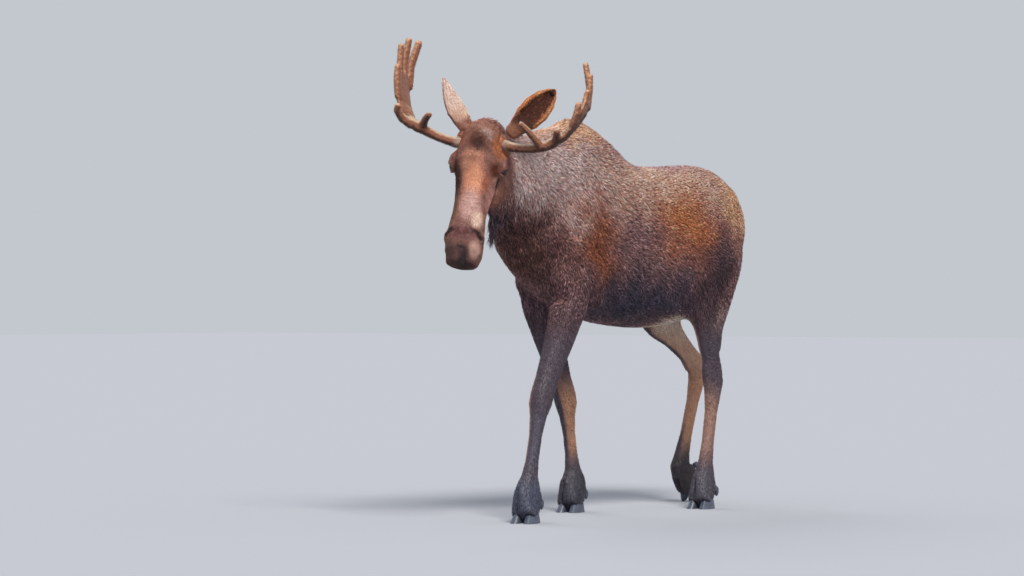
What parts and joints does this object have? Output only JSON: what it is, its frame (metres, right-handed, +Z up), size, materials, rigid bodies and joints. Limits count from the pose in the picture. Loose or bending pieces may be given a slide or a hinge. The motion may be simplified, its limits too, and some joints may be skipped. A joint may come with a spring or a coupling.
{
  "type": "moose",
  "caption": "Young bull moose in summer velvet, life size, walking with its head turned to its left and looking ahead.",
  "frame": {"origin": "middle of the whole animal's box, at floor level under its soles", "axes": "X from the animal's right to its left, Y from its muzzle to its tail, Z up"},
  "size_m": [0.843, 2.2978, 2.0893],
  "materials": {
    "coat": "short dark brown summer coat with golden hair tips on neck, shoulders and back, rust brown on the rear flank, grey-brown on legs, bare dark skin at nose and lips",
    "velvet": "brown antler velvet with pale fuzzy edges, dark brown on the undersides",
    "hoof": "black hoof horn with a blue-grey sheen",
    "eye": "wet, very dark brown eye"
  },
  "bodies": {
    "root": {"antler_left_beam": "velvet", "antler_left_brow": "velvet", "antler_left_front": "velvet", "antler_left_palm": "velvet", "antler_right_beam": "velvet", "antler_right_brow": "velvet", "antler_right_front": "velvet", "antler_right_palm": "velvet", "bell": "coat", "dewclaw_fore_left_left": "hoof", "dewclaw_fore_left_right": "hoof", "dewclaw_fore_right_left": "hoof", "dewclaw_fore_right_right": "hoof", "dewclaw_hind_left_left": "hoof", "dewclaw_hind_left_right": "hoof", "dewclaw_hind_right_left": "hoof", "dewclaw_hind_right_right": "hoof", "ear_left": "coat", "ear_right": "coat", "eye_left": "eye", "eye_right": "eye", "head": "coat", "hoof_fore_left_left": "hoof", "hoof_fore_left_right": "hoof", "hoof_fore_right_left": "hoof", "hoof_fore_right_right": "hoof", "hoof_hind_left_left": "hoof", "hoof_hind_left_right": "hoof", "hoof_hind_right_left": "hoof", "hoof_hind_right_right": "hoof", "leg_fore_left_lower": "coat", "leg_fore_left_upper": "coat", "leg_fore_right_lower": "coat", "leg_fore_right_upper": "coat", "leg_hind_left_lower": "coat", "leg_hind_left_upper": "coat", "leg_hind_right_lower": "coat", "leg_hind_right_upper": "coat", "neck": "coat", "tail": "coat", "trunk": "coat"}
  },
  "joints": []
}
